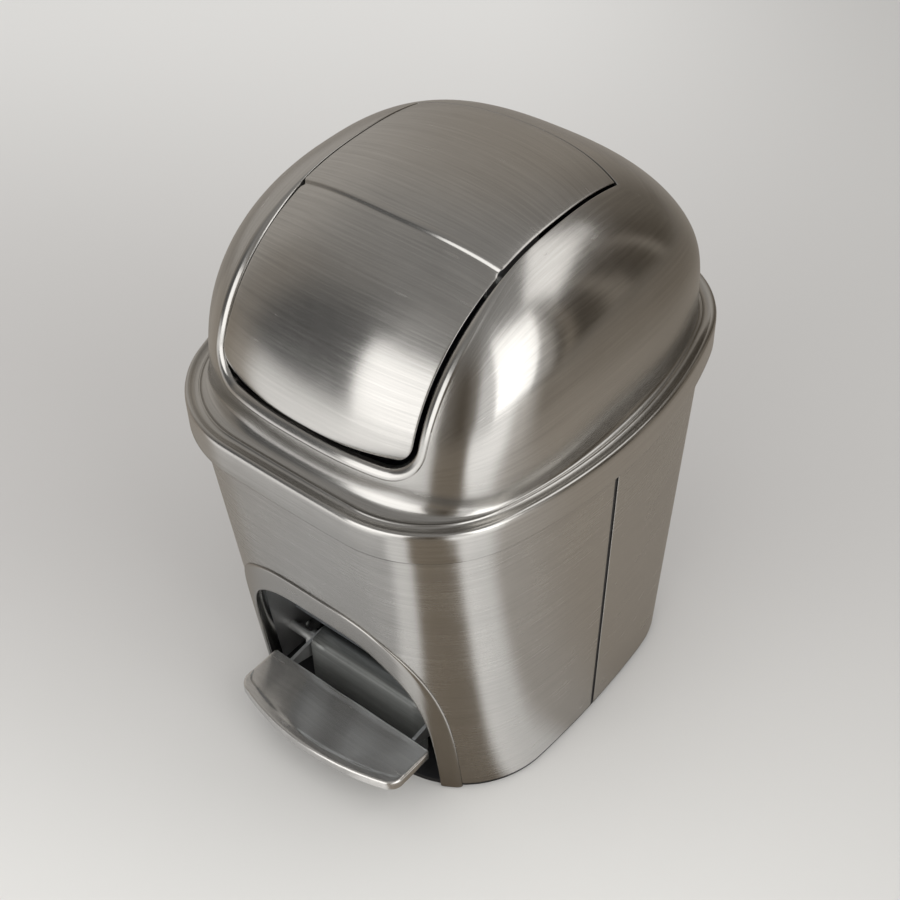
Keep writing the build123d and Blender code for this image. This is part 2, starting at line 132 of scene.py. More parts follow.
def front_angle(x, z, out=0.0):
    """Plan direction of the front wall's point at this x and z."""
    lo, hi = np.full(np.shape(x), -math.pi), np.zeros(np.shape(x))
    for _ in range(HALVINGS):
        mid = (lo + hi) / 2
        low = body_points(mid, z, out)[..., 0] < x
        lo, hi = np.where(low, mid, lo), np.where(low, hi, mid)
    return (lo + hi) / 2


def seam_angle(z, offset):
    """Plan direction of the right seam's edge, offset along Y from the seam's middle."""
    y = SEAM_Y_FOOT + (SEAM_Y_TOP - SEAM_Y_FOOT) * z / BODY_TOP_Z + offset
    th = np.arctan2(y, BODY_TOP[0])
    for _ in range(HALVINGS):
        th = np.arctan2(y, body_points(th, z)[..., 0])
    return th


def arch_curve(half_w, height, n):
    """The arch from its left foot over the head to its right foot, as (x, z) pairs."""
    a, e = np.linspace(math.pi, 0, 400), 2 / ARCH_POWER
    x = half_w * np.sign(np.cos(a)) * np.abs(np.cos(a)) ** e
    return resample(np.stack([x, height * np.sin(a) ** e], -1), n)


def dome_waist(x):
    """Share of the dome's depth and height that is left at this distance from its middle."""
    return np.clip(1 - np.abs(x / DOME_HALF_W) ** DOME_M, 0, 1) ** (1 / DOME_K)


def dome_gauge(p):
    """Below 0 inside the dome, above 0 outside it; p is measured from the dome's centre."""
    x, y, z = p[..., 0], p[..., 1], p[..., 2]
    b = np.where(y < 0, DOME_FRONT, DOME_REAR)
    return (np.abs(y / b) ** DOME_N + np.abs(z / DOME_H) ** DOME_N) ** (1 / DOME_N) - dome_waist(x)


def dome_at(phi, psi):
    """The dome's point in the direction given by two angles, held back from the rim."""
    b = np.where(np.sin(phi) < 0, DOME_FRONT, DOME_REAR)
    way = points(DOME_HALF_W * np.cos(phi) * np.cos(psi), b * np.sin(phi) * np.cos(psi), DOME_H * np.sin(psi))
    lo, hi = np.zeros(np.shape(phi)), np.full(np.shape(phi), 1.6)
    for _ in range(HALVINGS):
        mid = (lo + hi) / 2
        inside = dome_gauge(way * mid[..., None]) < 0
        lo, hi = np.where(inside, mid, lo), np.where(inside, hi, mid)
    p = way * lo[..., None]
    x, y = p[..., 0], p[..., 1] + DOME_Y
    r, th = np.hypot(x, y), np.arctan2(y, x)
    held = (1 + (r / reach(RIM, DOME_CLIP, th)) ** DOME_SOFT) ** (-1 / DOME_SOFT)
    return points(x * held, y * held, p[..., 2] + GROOVE_Z)


def dome_angles(p):
    x, y, z = np.moveaxis(p - DOME_CENTRE, -1, 0)
    b = np.where(y < 0, DOME_FRONT, DOME_REAR)
    return np.arctan2(y / b, x / DOME_HALF_W), np.arctan2(z / DOME_H, np.hypot(x / DOME_HALF_W, y / b))


def dome_z(x, y):
    s = dome_waist(x)
    b = np.where(y < DOME_Y, DOME_FRONT, DOME_REAR) * s
    return GROOVE_Z + DOME_H * s * np.clip(1 - np.abs((y - DOME_Y) / b) ** DOME_N, 0, 1) ** (1 / DOME_N)


def dome_front_y(x, z):
    s = dome_waist(x)
    v = np.clip(1 - np.abs((z - GROOVE_Z) / (DOME_H * s)) ** DOME_N, 0, 1) ** (1 / DOME_N)
    return DOME_Y - DOME_FRONT * s * v


def dome_normal(p):
    """Outward normal of the dome by differences of its gauge."""
    q = p - DOME_CENTRE
    return unit(np.stack([dome_gauge(q + e) - dome_gauge(q - e) for e in np.eye(3) * 0.05], -1))


# Meshes
def mesh_object(name, verts, faces, mat, uv=None):
    """A smooth mesh (mm) with one material and, where given, its brush coordinates."""
    mesh = bpy.data.meshes.new(name)
    mesh.from_pydata((verts * MM).tolist(), [], faces)
    mesh.update()
    mesh.shade_smooth()
    if uv is not None:
        layer = mesh.uv_layers.new(name="brush")
        corners = np.empty(len(mesh.loops), int)
        mesh.loops.foreach_get("vertex_index", corners)
        layer.data.foreach_set("uv", uv.reshape(-1, 2)[corners].ravel())
    mesh.materials.append(mat)
    obj = bpy.data.objects.new(name, mesh)
    bpy.context.collection.objects.link(obj)
    return obj


def settle(obj, body, replaces=()):
    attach(obj, body)
    if replaces:
        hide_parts(*replaces)


def plain_mesh(obj):
    """Makes the result of the object's modifiers its own mesh."""
    done = bpy.data.meshes.new_from_object(obj.evaluated_get(bpy.context.evaluated_depsgraph_get()))
    obj.modifiers.clear()
    obj.data = done
    done.shade_smooth()


def skin(name, body, mat, rows, closed_rows=False, closed_cols=True, uv=None, flip=False, replaces=(),
         caps=()):
    """A quad mesh from rows of points, one row after another."""
    rows = np.asarray(rows, float)
    index = np.arange(rows[..., 0].size).reshape(rows.shape[:2])
    near = index if closed_rows else index[:-1]
    far = np.roll(index, -1, 0) if closed_rows else index[1:]
    if closed_cols:
        corners = near, np.roll(near, -1, 1), np.roll(far, -1, 1), far
    else:
        corners = near[:, :-1], near[:, 1:], far[:, 1:], far[:, :-1]
    quads = np.stack(corners, -1).reshape(-1, 4)
    if flip:
        quads = quads[:, ::-1]
    faces = quads.tolist() + [list(index[row][::step]) for row, step in caps]
    obj = mesh_object(name, rows.reshape(-1, 3), faces, mat, uv)
    settle(obj, body, replaces)
    return obj


def border(grid):
    """The outer ring of a grid."""
    return np.concatenate([grid[0, :], grid[1:, -1], grid[-1, -2::-1], grid[-2:0:-1, 0]])


def sheet_piece(name, body, mat, outer, inner, uv, replaces, soft=0.35):
    """A thin closed sheet of brushed steel from its outside and inside grids, with softened edges."""
    count = outer[..., 0].size
    ids = np.arange(count).reshape(outer.shape[:2])
    quads = np.stack([ids[:-1, :-1], ids[:-1, 1:], ids[1:, 1:], ids[1:, :-1]], -1).reshape(-1, 4)
    edge = border(ids)
    after = np.roll(edge, -1)
    faces = quads.tolist() + (quads[:, ::-1] + count).tolist()
    faces += np.stack([after, edge, edge + count, after + count], -1).tolist()
    verts = np.concatenate([outer.reshape(-1, 3), inner.reshape(-1, 3)])
    obj = mesh_object(name, verts, faces, mat, np.concatenate([uv.reshape(-1, 2)] * 2))
    bevel = obj.modifiers.new("edge", "BEVEL")
    bevel.width, bevel.segments, bevel.harden_normals = soft * MM, 2, False
    bevel.limit_method, bevel.angle_limit = "ANGLE", math.radians(50)
    plain_mesh(obj)
    settle(obj, body, replaces)
    return obj


def brush_along_x(obj):
    """Puts the centre of the mesh's texture space far behind it, so that its brushing runs straight across."""
    obj.data.use_auto_texspace = False
    obj.data.texspace_location = (0.0, 40.0, 0.0)
    obj.data.texspace_size = (1.0, 1.0, 1.0)


# Finishes
class Shade:
    """A socket of a node tree. Arithmetic on it adds Math nodes."""

    def __init__(self, tree, socket=None):
        self.tree, self.socket = tree, socket

    def node(self, kind, settings, sockets, output=0):
        """Adds a node: its settings first, then the value or link of each socket."""
        n = self.tree.nodes.new(kind)
        for key, value in settings.items():
            if key == "stops":
                ramp_stops(n.color_ramp, value)
            else:
                setattr(n, key, value)
        for key, value in sockets.items():
            if isinstance(value, Shade):
                value.into(n.inputs[key])
            else:
                n.inputs[key].default_value = value
        return Shade(self.tree, n.outputs[output] if n.outputs else None)

    def into(self, socket):
        self.tree.links.new(self.socket, socket)

    def outputs(self):
        """Every output of the node that this socket belongs to."""
        return [Shade(self.tree, socket) for socket in self.socket.node.outputs]

    def maths(self, operation, *others):
        return self.node("ShaderNodeMath", {"operation": operation}, dict(enumerate((self, *others))))

    def __add__(self, other):
        return self.maths("ADD", other)

    def __sub__(self, other):
        return self.maths("SUBTRACT", other)

    def __mul__(self, other):
        return self.maths("MULTIPLY", other)

    def __truediv__(self, other):
        return self.maths("DIVIDE", other)

    def __rsub__(self, other):
        return self.node("ShaderNodeMath", {"operation": "SUBTRACT"}, {0: other, 1: self})

    def __rtruediv__(self, other):
        return self.node("ShaderNodeMath", {"operation": "DIVIDE"}, {0: other, 1: self})

    __radd__, __rmul__ = __add__, __mul__

    def ramp(self, low, high):
        """0 below low, 1 above high, with a soft step between them."""
        return self.node("ShaderNodeMapRange", {"interpolation_type": "SMOOTHSTEP"}, {0: self, 1: low, 2: high})

    def noise(self, scale, detail=2.0, rough=0.5, stretch=(1, 1, 1), shift=0.0):
        at = (shift, shift * 0.7, shift * 1.3)
        moved = self.node("ShaderNodeMapping", {}, {"Vector": self, "Location": at, "Scale": stretch})
        return self.node("ShaderNodeTexNoise", {}, {"Vector": moved, "Scale": scale, "Detail": detail,
                                                    "Roughness": rough})

    def mix(self, first, second):
        """The first colour where this is 0, the second where it is 1."""
        first, second = [c if isinstance(c, Shade) else (*c, 1) for c in (first, second)]
        return self.node("ShaderNodeMix", {"data_type": "RGBA"}, {0: self, 6: first, 7: second}, 2)

    def bump(self, strength):
        return self.node("ShaderNodeBump", {}, {"Height": self, "Strength": strength, "Distance": BUMP_DEPTH})


def ramp_stops(ramp, stops):
    ramp.interpolation = "EASE"
    while len(ramp.elements) < len(stops):
        ramp.elements.new(0.5)
    for element, (place, color) in zip(ramp.elements, stops):
        element.position, element.color = place, (*color, 1)


def material(name, color, roughness, metallic=0.0, others=()):
    """A plain finish; gives back its shader's sockets and its object and brush coordinates."""
    mat = bpy.data.materials.new(name)
    mat.use_nodes = True
    sockets = mat.node_tree.nodes["Principled BSDF"].inputs
    for key, value in (("Base Color", (*color, 1)), ("Roughness", roughness), ("Metallic", metallic), *others):
        sockets[key].default_value = value
    places = Shade(mat.node_tree).node("ShaderNodeTexCoord", {}, {}).outputs()
    at = {place.socket.name: place for place in places}
    return mat, sockets, at["Object"], at["UV"]


def brushed(name, color, rough, use_uv=True, lines=1.0, wear=1.0, tone=0.08, stretch=0.75, shine=1.0):
    """Brushed sheet: fine lines along the first brush coordinate (metres), cloudy wear, fine scratches."""
    mat, sockets, obj, uv = material(name, color, rough, shine,
                                     (("Anisotropic", stretch), ("Anisotropic Rotation", BRUSH_TURN)))
    co = uv if use_uv else obj
    fine = co.noise(2600, 2, 0.6, (0.012, 1, 1))
    coarse = co.noise(700, 3, 0.6, (0.02, 1, 1), 3.1)
    cloud = obj.noise(11, 4, 0.6, (1, 1, 1), 1.7)
    smear = obj.noise(38, 5, 0.7, (1, 1, 0.45), 5.3)
    scratch = co.noise(300, 1, 0.4, (0.16, 1, 1), 9.4).ramp(0.735, 0.77)
    grain = fine * 0.6 + coarse * 0.4
    dull = (grain - 0.5) * (0.14 * lines) + (cloud - 0.5) * (0.12 * wear) + (smear - 0.5) * (0.10 * wear)
    (dull + rough + scratch * 0.08).maths("MAXIMUM", 0.08).into(sockets["Roughness"])
    dark = tuple(c * (1 - tone * 1.8) for c in color)
    light = tuple(min(c * (1 + tone * 1.3), 1) for c in color)
    pale = (fine - 0.5) * (1.2 * lines) + (coarse - 0.5) * (1.6 * lines) + (cloud - 0.5) * 0.8
    pale = pale + (smear - 0.5) * 0.5 + scratch * 0.25 + 0.45
    pale.maths("MINIMUM", 1.0).mix(dark, light).into(sockets["Base Color"])
    (grain + scratch * 0.25).bump(0.05 * lines).into(sockets["Normal"])
    return mat


def plastic(name, color, rough):
    """Moulded plastic or rubber with a fine grain and a cloudy tone."""
    mat, sockets, obj, _ = material(name, color, rough)
    grain, cloud = obj.noise(1800), obj.noise(25, 3)
    ((grain - 0.5) * 0.15 + (cloud - 0.5) * 0.12 + rough).into(sockets["Roughness"])
    dark, light = tuple(c * 0.85 for c in color), tuple(c * 1.15 for c in color)
    cloud.mix(dark, light).into(sockets["Base Color"])
    grain.bump(0.05).into(sockets["Normal"])
    return mat


STEEL = (0.50, 0.485, 0.46)
steel_body = brushed("BrushedSteel", STEEL, 0.25)
steel_dome = brushed("BrushedSteelDome", STEEL, 0.2, lines=0.9)
steel_flap = brushed("BrushedSteelFlap", STEEL, 0.215)
# Painted light: a lighter, less metallic copy of the steel, so that the pedal tread looks lit
lit_tread_steel = brushed("BrushedSteelTreadPaintedLight", (0.66, 0.64, 0.61), 0.24, lines=0.8, wear=0.6, shine=0.92)
# Painted shade: a darker copy of the steel for the arch bezel
shaded_bezel_steel = brushed("BrushedSteelBezelPaintedShade", (0.43, 0.415, 0.39), 0.24, lines=0.4, wear=0.8)
steel_plain = brushed("BrushedSteelObject", STEEL, 0.28, use_uv=False, stretch=0.3)
zinc = brushed("ZincPlate", (0.5, 0.5, 0.49), 0.38, shine=0.8, use_uv=False, lines=0.5, stretch=0.0)
galvanised = brushed("Galvanised", (0.52, 0.55, 0.58), 0.4, shine=0.6, use_uv=False, lines=0.4, wear=1.6,
                     tone=0.15, stretch=0.0)
# Painted shade: a dark copy of the galvanised steel, for the pin cover down in the pedal well
shaded_well_steel = brushed("WellSteelPaintedShade", (0.21, 0.215, 0.205), 0.42, shine=0.6, use_uv=False, lines=0.6, wear=1.6,
                     tone=0.2, stretch=0.0)
black = plastic("BlackPlastic", (0.012, 0.012, 0.013), 0.5)
rubber = plastic("BlackRubber", (0.02, 0.02, 0.02), 0.8)
nylon = plastic("WhiteNylon", (0.72, 0.71, 0.68), 0.5)

BY_SLOT = {"brushed_steel": steel_plain, "inner_steel": zinc, "galvanised": galvanised, "black_plastic": black,
           "black_rubber": rubber, "white_nylon": nylon}
for part in frame["record"]["subparts"]:
    for slot in NODES[part["node"]].material_slots:
        slot.link = "OBJECT"
        slot.material = BY_SLOT[part["material_slot"]]


# Body: two sheets that meet at the side seams
def body_sheet(name, replaced, th, z):
    sheet_piece(name, "bin_body", steel_body, body_points(th, z), body_points(th, z, -SHEET),
                np.stack([th * GIRTH, z * MM], -1), [replaced])


def front_sheet(cols=361, rows=42, side=100, head=160):
    """The front sheet, in rows that change from the arch's edge to the sheet's own border."""
    arch = arch_curve(ARCH_HALF_W, ARCH_H, cols)
    arch[:, 1] = SHELL_Z0 + arch[:, 1] * (1 - SHELL_Z0 / ARCH_H)
    up = np.linspace(SHELL_Z0, SHELL_Z1, side)
    z = np.r_[up, np.full(head, SHELL_Z1), up[::-1]]
    right = seam_angle(z, -SEAM_GAP / 2)
    left = -math.pi - right
    across = np.r_[np.zeros(side), np.linspace(0, 1, head), np.ones(side)]
    outside = np.stack([left + (right - left) * across, z], -1)
    outside = resample(outside * (100, 1), cols) / (100, 1)
    t = np.linspace(1, 0, rows)[:, None]
    th = front_angle(arch[:, 0], arch[:, 1])[None] * (1 - t) + outside[None, :, 0] * t
    body_sheet("Body_front_sheet", "front_shell", th, arch[None, :, 1] * (1 - t) + outside[None, :, 1] * t)


def rear_sheet(cols=220, rows=60):
    z = np.linspace(SHELL_Z0, SHELL_Z1, rows)[:, None]
    right = seam_angle(z, SEAM_GAP / 2)
    th = right + (math.pi - 2 * right) * np.linspace(0, 1, cols)[None]
    body_sheet("Body_rear_sheet", "rear_shell", th, np.broadcast_to(z, th.shape))


# The bezel's section, from its outer edge over the raised band and the return into the arch: share of the
# band's width, height above the body's wall (mm)
BEZEL_SECTION = [(0.0, 0.05), (0.0, 0.6), (0.05, 1.0), (0.12, 1.2), (0.3, 1.25), (0.6, 1.25), (0.84, 1.25),
                 (0.93, 1.1), (0.985, 0.6), (1.0, -0.2), (1.0, -3.0), (1.0, -6.5), (0.93, -6.5), (0.93, -1.2),
                 (0.5, 0.05)]


def arch_bezel(cols=241, foot_z=1.0):
    outside, inside = arch_curve(BEZEL_HALF_W, BEZEL_H, cols), arch_curve(ARCH_HALF_W, ARCH_H, cols)
    rows, uv = [], []
    for share, height in BEZEL_SECTION:
        x, z = (outside * (1 - share) + inside * share).T
        z = np.maximum(z, foot_z)
        rows.append(body_points(front_angle(x, z, height), z, height))
        uv.append(np.stack([np.arange(cols) * 0.00125, np.full(cols, share * 0.012)], -1))
    skin("Arch_bezel", "bin_body", shaded_bezel_steel, rows, closed_rows=True, closed_cols=False,
         uv=np.array(uv), replaces=["arch_bezel"])


# Lid: from the opening's lip over the rolled edge and the dome to the rim, the skirt and back inside
def opening_edge(half_w, foot_z, corner, rear_out, n):
    """The opening's outline on the dome, anticlockwise seen from above, starting at the rear right."""
    x = np.linspace(half_w, -half_w, 120)
    y = FLAP_REAR_Y + rear_out + FLAP_REAR_BOW * (1 - (x / half_w) ** 2)
    rear = points(x, y, dome_z(x, y))
    y_split = float(dome_front_y(half_w, foot_z + corner + 8))
    y = np.linspace(FLAP_REAR_Y + rear_out, y_split, 200)[1:]
    side = points(-half_w, y, dome_z(half_w, y))
    z = np.linspace(side[-1, 2], foot_z + corner, 30)[1:]
    low = points(-half_w, dome_front_y(half_w, z), z)
    a = np.linspace(0, math.pi / 2, 24)[1:]
    x, z = -half_w + corner * (1 - np.cos(a)), foot_z + corner * (1 - np.sin(a))
    bend = points(x, dome_front_y(x, z), z)
    x = np.linspace(x[-1], 0, 80)[1:]
    foot = points(x, dome_front_y(x, foot_z), foot_z)
    half = np.vstack([side, low, bend, foot])
    other = half[::-1][1:] * (-1, 1, 1)
    return resample(np.vstack([rear, half, other[:-1]]), n, closed=True)


LIP = ((2.2, 1.1), (2.5, 0.55), (2.2, 0.0), (1.0, 0.0))   # below the rolled edge, back from it
SHELF_Z, SHELF_IN = 217.7, 8.0                            # where the dome's cove meets the rim
# Ridge, channel, shoulder, skirt, its hem and the inside: inset from the rim's outline, height
RIM_SECTION = [(7.8, 218.0), (7.5, 218.12), (7.2, 217.95), (6.95, 217.6), (6.5, 217.35), (5.4, 217.2),
               (4.0, 217.4), (3.0, 217.85), (2.2, 218.25), (1.6, 218.25), (0.9, 217.85), (0.4, 217.2),
               (0.1, 216.2), (0.0, 215.0), (0.0, 211.0), (0.0, 206.0), (0.0, RIM_Z0 + 1.0),
               (0.2, RIM_Z0 + 0.25), (0.65, RIM_Z0), (1.1, RIM_Z0 + 0.3), (1.25, RIM_Z0 + 3), (1.3, 210.3),
               (3.0, 211.1), (7.0, GROOVE_Z - 1.2), (14.5, GROOVE_Z - 1.2)]


def lid_dome(cols=480, walls=52, coves=12):
    edge = opening_edge(FLAP_HALF_W + FLAP_GAP, OPENING_FOOT_Z, OPENING_CORNER, REAR_GAP - 0.4, cols)
    normal = dome_normal(edge)
    along = unit(np.roll(edge, -1, 0) - np.roll(edge, 1, 0))
    away = unit(around(unit(np.cross(along, normal)), 31))
    at_rear = np.clip((edge[:, 1] - FLAP_REAR_Y + 3) / 6, 0, 1)
    roll = 0.55 + 4.6 * np.clip((CREASE_Y + 6 - edge[:, 1]) / 34.0, 0, 1) - 0.25 * at_rear
    roll = around(roll[:, None], 25)
    drop = np.minimum(roll, 0.4 + roll * 0.62)
    rows = [edge - normal * (drop + depth) + away * back for depth, back in LIP]
    for a in np.radians(np.linspace(0, 84, 10)):
        rows.append(edge + away * roll * (1 - math.cos(a)) + normal * drop * (math.sin(a) - 1))
    start = edge + away * roll
    for _ in range(6):
        start = start - dome_normal(start) * (dome_gauge(start - DOME_CENTRE)[:, None] * 90)

    # Half of the foot's directions are spread evenly so that the columns stay straight
    phi, psi = dome_angles(start)
    phi = np.unwrap(phi)
    phi_foot = 0.5 * (phi[0] + np.linspace(0, 2 * math.pi, cols, endpoint=False)) + 0.5 * phi
    falls = np.sin(np.linspace(0, 1, 130) * math.pi / 2) ** 1.1
    dense = np.array([dome_at(phi * (1 - e) + phi_foot * e, psi * (1 - e)) for e in falls])

    foot_th, wall, cove = np.zeros(cols), np.zeros((walls, cols, 3)), np.zeros((coves, cols, 3))
    wall_share = np.sin(np.linspace(0, 1, walls) * math.pi / 2) ** 1.1
    t = np.linspace(0, 1, coves + 1)[1:, None]
    for i in range(cols):
        line = dense[:, i]
        low = at_length(-SHELF_Z, -line[:, 2], line)
        foot_th[i] = th = np.arctan2(low[1], low[0])
        r = reach(RIM, SHELF_IN, th)
        width = reach(RIM, 0, th) - math.hypot(low[0], low[1]) - SHELF_IN
        d = lengths(line)
        end = np.interp(-(SHELF_Z + 3.5 + 0.95 * max(width, 0)), -line[:, 2], d)
        wall[:, i] = at_length(end * wall_share, d, line)
        top = wall[-1, i]
        shelf = np.array((r * math.cos(th), r * math.sin(th), SHELF_Z))
        bend = low * 0.75 + np.array((*top[:2], SHELF_Z)) * 0.25
        cove[:, i] = top * (1 - t) ** 2 + bend * (2 * t * (1 - t)) + shelf * t ** 2
    rows += [*wall, *cove]
    rows += [polar(reach(RIM, inset, foot_th), foot_th, z) for inset, z in RIM_SECTION]
    rows += [p - dome_normal(p) for p in wall[::-1][:-4]]
    rows = np.array(rows)
    down = np.r_[0, np.cumsum(np.linalg.norm(np.diff(rows, axis=0), axis=2).mean(1))]
    uv = np.stack(np.broadcast_arrays(np.unwrap(foot_th)[None] * GIRTH, down[:, None] * MM), -1)
    skin("Lid_dome", "lid", steel_dome, rows, closed_rows=True, uv=uv, replaces=["lid_dome"],
         flip=True)


def flap_sheet(cols=97, upper=60, lower=76, half_w=FLAP_HALF_W + 0.7, foot_z=240.2, corner=12.5):
    """Two panels with a joggle between them, bowed at the crease and the rear edge."""
    top = np.zeros((upper + 14 + lower, cols, 3))
    a = np.linspace(0.02, math.pi - 0.02, 900)
    r = (np.abs(np.cos(a)) ** DOME_N + np.sin(a) ** DOME_N) ** (-1 / DOME_N)
    b = np.where(np.cos(a) > 0, DOME_FRONT, DOME_REAR)
    for c, u in enumerate(np.linspace(-1, 1, cols)):
        s = dome_waist(u * half_w)
        line = np.stack([DOME_Y - b * s * r * np.cos(a), GROOVE_Z + DOME_H * s * r * np.sin(a)], -1)
        d = lengths(line)
        foot = np.interp(foot_z, line[:300, 1], d[:300])
        crease = np.interp(CREASE_Y - 3.0 * (1 - u * u), line[:, 0], d)
        rear = np.interp(FLAP_REAR_Y + FLAP_REAR_BOW * (1 - u * u), line[:, 0], d)
        at = np.r_[np.linspace(rear, crease + 1.5, upper), crease + np.linspace(1.0, -4.0, 14),
                   np.linspace(crease - 5.0, foot, lower)]
        top[:, c, 0], top[:, c, 1:] = u * half_w, at_length(at, d, line)
        if c == cols // 2:
            middle, mid_crease, mid_foot = at, crease, foot
    normal = dome_normal(top)
    step = np.clip((mid_crease + 0.2 - middle) / 1.8, 0, 1)
    sink = 1.1 * (step * step * (3 - 2 * step)) - 0.22 * np.exp(-((middle - mid_crease - 1.0) / 0.8) ** 2)
    sink += 0.6 * np.clip((mid_crease - 4 - middle) / 40, 0, 1) * np.clip((middle - mid_foot) / 30, 0, 1)
    top = top - normal * sink[:, None, None]
    to_foot = np.clip(middle - mid_foot, 0, corner)
    narrow = corner - np.sqrt(np.maximum(corner ** 2 - (corner - to_foot) ** 2, 0))
    notch = np.clip(1 - np.abs(middle - (mid_crease - 1.2)) / 2.6, 0, 1)
    top[:, :, 0] *= (1 - (narrow + notch) / half_w)[:, None]
    uv = np.stack(np.broadcast_arrays(top[:, :, 0] * MM, middle[:, None] * MM), -1)
    brush_along_x(sheet_piece("Flap", "flap", steel_flap, top, top - normal, uv, ["flap_plate"], soft=0.2))


# Pedal tread: a dished plate with its edges turned down
TREAD_HALF_W, TREAD_REAR_Y, TREAD_Z, TREAD_SHEET, TREAD_EDGE = 56.0, -99.0, 30.0, 1.2, 1.6
# The turned edge, from the plate over the lip to the inside: how far out, height
TREAD_SECTION = ((0.7, 29.85), (1.2, 29.45), (1.5, 28.8), (1.6, 28.0), (1.6, 25.0), (1.4, 24.3), (1.0, 24.0),
                 (0.6, 24.3), (0.4, 25.0), (0.4, 28.2))


def tread_front(x, nose=-136.5, shoulder=-126.5, corner=5.0):
    big = (TREAD_HALF_W ** 2 + (shoulder - nose) ** 2) / (2 * (shoulder - nose))
    over = np.clip(np.abs(x) - (TREAD_HALF_W - corner), 0, corner)
    return nose + big - np.sqrt(big ** 2 - x ** 2) + corner - np.sqrt(corner ** 2 - over ** 2)


def pedal_tread(cols=141, rows=61):
    half_w = TREAD_HALF_W - TREAD_EDGE
    x = half_w * np.sin(np.linspace(-math.pi / 2, math.pi / 2, cols))
    share = (1 - np.cos(np.linspace(0, math.pi, rows))) / 2
    front = tread_front(x / half_w * 55.9) + TREAD_EDGE
    x, share = np.meshgrid(x, share)
    y = TREAD_REAR_Y + (front[None] - TREAD_REAR_Y) * share
    lip = y - front[None]
    fall = np.clip((lip - 3.2) / 1.6, 0, 1)
    sides = np.clip((half_w - np.abs(x)) / 14, 0, 1)
    hollow = np.clip((lip - 4) / 22, 0, 1) * sides * np.clip((-98 - y) / 14, 0.25, 1)
    z = TREAD_Z - 0.4 * fall * fall * (3 - 2 * fall) - 0.9 * np.sin(hollow * math.pi / 2)
    z = z + 0.8 * sides * fall * np.sin(x / 8.0 + y / 15.0) * np.cos(x / 19.0 + 0.6)
    grid = points(x, y, z)
    ring = border(grid)
    along = unit(np.roll(ring, -1, 0) - np.roll(ring, 1, 0))
    out = around(unit(points(-along[:, 1], along[:, 0], 0)), 5)
    rings = []
    for far, height in TREAD_SECTION:
        turned = ring + out * far
        turned[:, 2] = height - (TREAD_Z - ring[:, 2]) * 0.6
        rings.append(turned)
    under = grid - (0, 0, TREAD_SHEET)
    ids = np.arange(x.size).reshape(x.shape)
    quads = np.stack([ids[:-1, :-1], ids[1:, :-1], ids[1:, 1:], ids[:-1, 1:]], -1).reshape(-1, 4)
    faces = quads.tolist() + (quads[:, ::-1] + x.size).tolist()
    ring_ids = 2 * x.size + np.arange(len(rings) * len(ring)).reshape(len(rings), -1)
    levels = [border(ids), *ring_ids, border(ids) + x.size]
    for up, down in zip(levels, levels[1:]):
        faces += np.stack([up, np.roll(up, -1), np.roll(down, -1), down], -1).tolist()
    verts = np.concatenate([grid.reshape(-1, 3), under.reshape(-1, 3), *rings])
    tread = mesh_object("Pedal_tread", verts, faces, lit_tread_steel, verts[:, :2] * MM)
    fix = bmesh.new()
    fix.from_mesh(tread.data)
    bmesh.ops.recalc_face_normals(fix, faces=fix.faces)
    fix.to_mesh(tread.data)
    fix.free()
    brush_along_x(tread)
    settle(tread, "pedal", ["pedal_tread"])


# Pedal well: back plate that leans forward at its top, bent cover over the pedal pin, brackets, rivets
WELL_HALF_W, PIN_COVER_HALF_W = 63.9, 41.5
WELL_PATH = [(-72.0, 36.0), (-72.0, 60.0), (-72.0, 84.0), (-72.6, 90.0), (-77.0, 106.0), (-81.4, 121.0)]
PIN_COVER_PATH = [(-84.0, 3.1), (-84.0, 16.0), (-84.0, 30.0), (-83.2, 32.6), (-81.0, 33.6), (-77.0, 33.9),
                  (-72.0, 34.6)]
BRACKETS = [("Bracket_front_", (-90, 99), (-79.5, 62)), ("Bracket_rear_", (-73.0, 92), (-78.5, 62))]


def plate(name, mat, path, half_w, thick=1.0):
    """A bent plate across the well: a path in the YZ plane, thickened to the rear."""
    path = np.asarray(path, float)
    along = unit(np.gradient(path, axis=0))
    back = np.abs(along[:, ::-1]) * thick
    ring = np.concatenate([path, (path + back)[::-1]])
    rows = [np.c_[np.full(len(ring), x), ring] for x in np.linspace(-half_w, half_w, 9)]
    skin(name, "bin_body", mat, rows, caps=[(0, 1), (8, -1)])


def bracket(name, x, top, foot, width=7, thick=1.2):
    """A flat strip in the YZ plane from its top to its foot, with its width along X."""
    top, foot, across = np.array((x, *top)), np.array((x, *foot)), np.array((1.0, 0.0, 0.0))
    face = np.cross(unit(foot - top), across)
    ring = [across * width / 2 * a + face * thick / 2 * b for a, b in ((1, 1), (-1, 1), (-1, -1), (1, -1))]
    skin(name, "bin_body", zinc, [[top + r for r in ring], [foot + r for r in ring]],
         caps=[(0, 1), (1, -1)])


